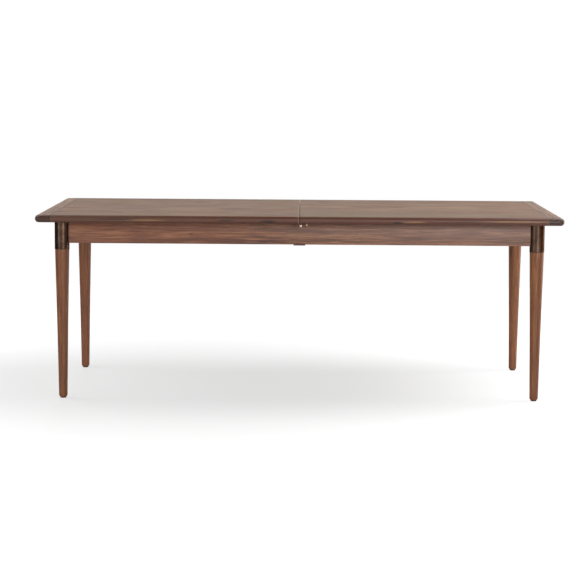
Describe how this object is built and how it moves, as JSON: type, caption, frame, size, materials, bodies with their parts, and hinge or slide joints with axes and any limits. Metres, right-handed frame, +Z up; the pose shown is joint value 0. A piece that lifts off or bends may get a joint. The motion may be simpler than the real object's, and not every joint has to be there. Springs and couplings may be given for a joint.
{
  "type": "extendable dining table",
  "caption": "Extendable wooden dining table: round-edged top in two sliding halves, long aprons, tapered round legs with metal sleeves, brass top locks and a leaf stored under the top.",
  "frame": {"origin": "on the floor, under the middle of the closed top", "axes": "+X along the length of the table, -Y towards the front long side, +Z up"},
  "size_m": [2.134, 1.016, 0.762],
  "materials": {
    "top_walnut": "satin lacquer",
    "end_board_walnut": "satin lacquer",
    "leaf_walnut": "satin lacquer",
    "apron_walnut": "satin lacquer",
    "leg_walnut": "satin lacquer",
    "sleeve_bronze": "dark bronze plating",
    "inner_hardwood": "sanded",
    "dowel_beech": "raw",
    "pin_plastic": "matt",
    "felt": "felt",
    "glide_plastic": "matt",
    "black_steel": "satin black paint",
    "black_screws": "black oxide",
    "lock_brass": "polished",
    "ball_steel": "polished",
    "slide_steel": "zinc plated",
    "zinc_steel": "zinc plated"
  },
  "bodies": {
    "frame": {"back_apron": "apron_walnut", "centre_brace": "black_steel", "centre_brace_screws": "black_screws", "corner_block_back_left": "inner_hardwood", "corner_block_back_right": "inner_hardwood", "corner_block_front_left": "inner_hardwood", "corner_block_front_right": "inner_hardwood", "corner_block_screws": "lock_brass", "corner_hanger_bolts": "zinc_steel", "corner_nuts_and_washers": "zinc_steel", "cross_rail_dowels": "dowel_beech", "cross_rail_felts": "felt", "foot_glides": "glide_plastic", "front_apron": "apron_walnut", "leaf_stop_blocks": "inner_hardwood", "left_apron": "apron_walnut", "left_cross_rail": "inner_hardwood", "leg_back_left": "leg_walnut", "leg_back_right": "leg_walnut", "leg_front_left": "leg_walnut", "leg_front_right": "leg_walnut", "leg_sleeve_back_left": "sleeve_bronze", "leg_sleeve_back_right": "sleeve_bronze", "leg_sleeve_front_left": "sleeve_bronze", "leg_sleeve_front_right": "sleeve_bronze", "right_apron": "apron_walnut", "right_cross_rail": "inner_hardwood", "slide_channel_back_left": "slide_steel", "slide_channel_back_right": "slide_steel", "slide_channel_front_left": "slide_steel", "slide_channel_front_right": "slide_steel", "slide_channel_screws": "zinc_steel"},
    "left_top": {"left_back_batten": "inner_hardwood", "left_end_board": "end_board_walnut", "left_front_batten": "inner_hardwood", "left_lock_screws": "lock_brass", "left_top_panel": "top_walnut", "left_top_screws": "zinc_steel", "slide_runner_back_left": "slide_steel", "slide_runner_front_left": "slide_steel", "alignment_pins": "pin_plastic", "front_lock_keeper": "lock_brass", "back_lock_keeper": "lock_brass"},
    "right_top": {"right_back_batten": "inner_hardwood", "right_end_board": "end_board_walnut", "right_front_batten": "inner_hardwood", "right_lock_screws": "lock_brass", "right_top_panel": "top_walnut", "right_top_screws": "zinc_steel", "slide_runner_back_right": "slide_steel", "slide_runner_front_right": "slide_steel", "front_lock_base": "lock_brass", "back_lock_base": "lock_brass"},
    "left_ball_cages": {"left_ball_cages": "ball_steel"},
    "right_ball_cages": {"right_ball_cages": "ball_steel"},
    "front_lock": {"front_lock_lever": "lock_brass"},
    "back_lock": {"back_lock_lever": "lock_brass"},
    "leaf": {"extension_leaf": "leaf_walnut", "leaf_alignment_pins": "pin_plastic"}
  },
  "joints": [
    {"name": "left_top_slide", "type": "slide", "parent": "frame", "child": "left_top", "axis": [-1, 0, 0], "range_m": [0, 0.254]},
    {"name": "right_top_slide", "type": "slide", "parent": "frame", "child": "right_top", "axis": [1, 0, 0], "range_m": [0, 0.254]},
    {"name": "left_cage_slide", "type": "slide", "parent": "frame", "child": "left_ball_cages", "axis": [-1, 0, 0], "range_m": [0, 0.127]},
    {"name": "right_cage_slide", "type": "slide", "parent": "frame", "child": "right_ball_cages", "axis": [1, 0, 0], "range_m": [0, 0.127]},
    {"name": "front_lock_swing", "type": "hinge", "parent": "right_top", "child": "front_lock", "pos_m": [0.03, -0.452, 0.727], "axis": [0, 0, -1], "range_deg": [0, 60]},
    {"name": "back_lock_swing", "type": "hinge", "parent": "right_top", "child": "back_lock", "pos_m": [0.03, 0.452, 0.727], "axis": [0, 0, 1], "range_deg": [0, 60]},
    {"name": "leaf_slide", "type": "slide", "parent": "frame", "child": "leaf", "axis": [1, 0, 0], "range_m": [-0.254, 0.254]}
  ],
  "couplings": [
    {"joint": "right_top_slide", "follows": "left_top_slide", "ratio": 1},
    {"joint": "left_cage_slide", "follows": "left_top_slide", "ratio": 0.5},
    {"joint": "right_cage_slide", "follows": "left_top_slide", "ratio": 0.5}
  ]
}
